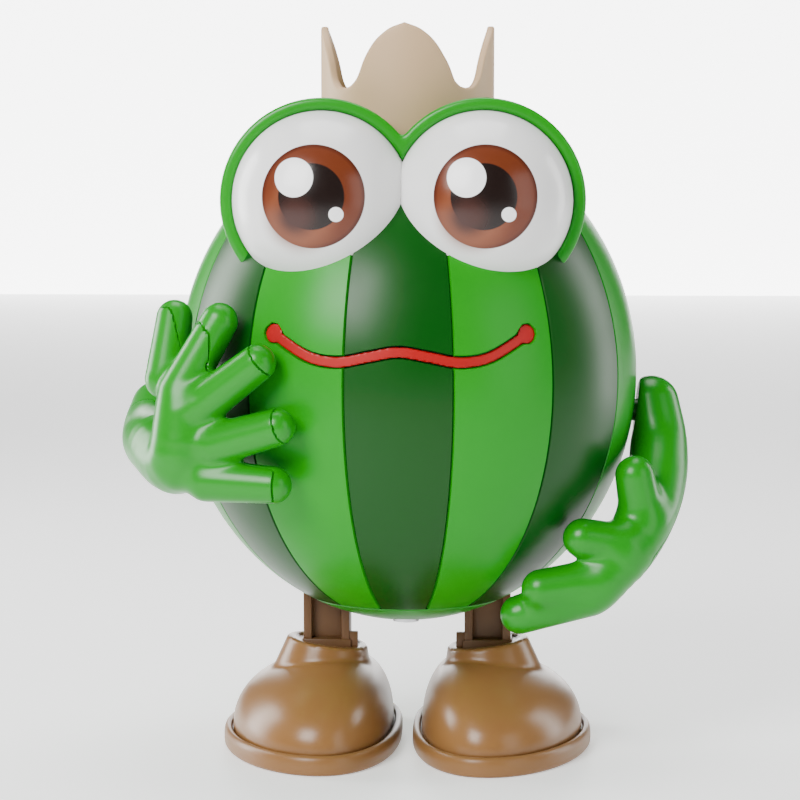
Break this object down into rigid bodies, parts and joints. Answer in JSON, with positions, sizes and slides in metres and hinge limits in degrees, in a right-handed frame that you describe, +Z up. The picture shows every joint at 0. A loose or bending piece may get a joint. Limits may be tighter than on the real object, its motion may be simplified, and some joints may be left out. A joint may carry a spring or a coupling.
{
  "type": "wind-up hopping frog toy",
  "caption": "Wind-up hopping frog: round striped body with crown, bulging eyes and swinging arms; a spring motor turns cranks that lift two shoed legs.",
  "frame": {"origin": "bottom centre of the whole toy's box, on the floor under the soles", "axes": "+Z up, the face looks towards -Y, +X is the frog's own left; the egg-shaped body's axis stands 3.85 mm in front of the origin"},
  "size_m": [0.081, 0.0775, 0.1035],
  "materials": {
    "green_stripes": "moulded, polished, fourteen stripes in two greens",
    "green_cap": "moulded, polished",
    "bright_green": "moulded, polished",
    "arm_green": "moulded, semi-gloss",
    "eye_white": "polished, printed iris and pupil",
    "red_mouth": "polished",
    "beige_crown": "satin",
    "brown_leg": "satin",
    "brown_shoe": "polished",
    "tan_sole": "semi-gloss",
    "key_plastic": "semi-gloss",
    "crank_plastic": "satin",
    "steel_screw": "bright zinc",
    "steel_shaft": "ground",
    "spring_steel": "blued",
    "motor_steel": "stamped",
    "brass_gear": "stamped"
  },
  "bodies": {
    "body": {"body_front_shell": "green_stripes", "body_rear_shell": "green_stripes", "base_cap": "green_cap", "body_screws": "steel_screw", "base_screws": "steel_screw", "eye_hood": "bright_green", "left_eyeball": "eye_white", "right_eyeball": "eye_white", "mouth_insert": "red_mouth", "crown": "beige_crown", "left_motor_plate": "motor_steel", "right_motor_plate": "motor_steel", "motor_floor_plate": "motor_steel", "motor_pillars": "steel_shaft", "motor_nuts": "steel_screw", "key_bridge": "motor_steel", "motor_rear_plate": "motor_steel", "mainspring": "spring_steel", "spring_post": "steel_shaft"},
    "crank": {"crankshaft": "steel_shaft", "crank_pinion": "brass_gear", "crank_wheel": "brass_gear", "left_crank": "crank_plastic", "right_crank": "crank_plastic", "crank_clips": "spring_steel"},
    "left_leg": {"left_leg_strut": "brown_leg", "left_shoe_upper": "brown_shoe", "left_shoe_sole": "tan_sole", "left_shoe_screws": "steel_screw"},
    "right_leg": {"right_leg_strut": "brown_leg", "right_shoe_upper": "brown_shoe", "right_shoe_sole": "tan_sole", "right_shoe_screws": "steel_screw"},
    "first_arbor": {"first_arbor": "steel_shaft", "first_pinion": "brass_gear", "first_wheel": "brass_gear"},
    "great_wheel": {"crown_wheel": "brass_gear", "click_pin": "steel_shaft", "click_spring": "spring_steel"},
    "click": {"click": "spring_steel"},
    "key": {"key_arbor": "steel_shaft", "ratchet_wheel": "motor_steel", "arbor_clip": "spring_steel", "winding_key": "key_plastic"},
    "fan": {"fan_arbor": "steel_shaft", "fan_pinion": "brass_gear", "fan": "crank_plastic"},
    "left_arm": {"left_arm_front_half": "arm_green", "left_arm_back_half": "arm_green", "left_shoulder_pin": "steel_shaft", "left_shoulder_retainer": "spring_steel"},
    "right_arm": {"right_arm_front_half": "arm_green", "right_arm_back_half": "arm_green", "right_shoulder_pin": "steel_shaft", "right_shoulder_retainer": "spring_steel"}
  },
  "joints": [
    {"name": "crank_spin", "type": "hinge", "parent": "body", "child": "crank", "pos_m": [0, -0.00385, 0.044], "axis": [1, 0, 0], "continuous": true},
    {"name": "left_leg_hang", "type": "hinge", "parent": "crank", "child": "left_leg", "pos_m": [0.0137, -0.00385, 0.0422], "axis": [1, 0, 0], "continuous": true},
    {"name": "right_leg_hang", "type": "hinge", "parent": "crank", "child": "right_leg", "pos_m": [-0.0137, -0.00385, 0.0422], "axis": [1, 0, 0], "continuous": true},
    {"name": "first_arbor_spin", "type": "hinge", "parent": "body", "child": "first_arbor", "pos_m": [0, -0.00385, 0.056], "axis": [1, 0, 0], "continuous": true},
    {"name": "great_wheel_spin", "type": "hinge", "parent": "body", "child": "great_wheel", "pos_m": [0, 0.00065, 0.056], "axis": [0, 1, 0], "continuous": true},
    {"name": "fan_spin", "type": "hinge", "parent": "body", "child": "fan", "pos_m": [0, -0.01204, 0.03919], "axis": [1, 0, 0], "continuous": true},
    {"name": "wind_key", "type": "hinge", "parent": "great_wheel", "child": "key", "pos_m": [0, 0.01615, 0.056], "axis": [0, 1, 0], "continuous": true},
    {"name": "click_rock", "type": "hinge", "parent": "great_wheel", "child": "click", "pos_m": [0, 0.00185, 0.0619], "axis": [0, 1, 0], "range_deg": [-5, 0]},
    {"name": "left_shoulder", "type": "hinge", "parent": "body", "child": "left_arm", "pos_m": [0.03, -0.00385, 0.0486], "axis": [1, 0, 0], "range_deg": [-15, 10]},
    {"name": "right_shoulder", "type": "hinge", "parent": "body", "child": "right_arm", "pos_m": [-0.03, -0.00385, 0.0486], "axis": [1, 0, 0], "range_deg": [-5, 55]}
  ],
  "couplings": [
    {"joint": "left_leg_hang", "follows": "crank_spin", "ratio": -1},
    {"joint": "right_leg_hang", "follows": "crank_spin", "ratio": -1},
    {"joint": "first_arbor_spin", "follows": "crank_spin", "ratio": -0.33333},
    {"joint": "great_wheel_spin", "follows": "crank_spin", "ratio": -0.125},
    {"joint": "fan_spin", "follows": "crank_spin", "ratio": -3.75}
  ]
}
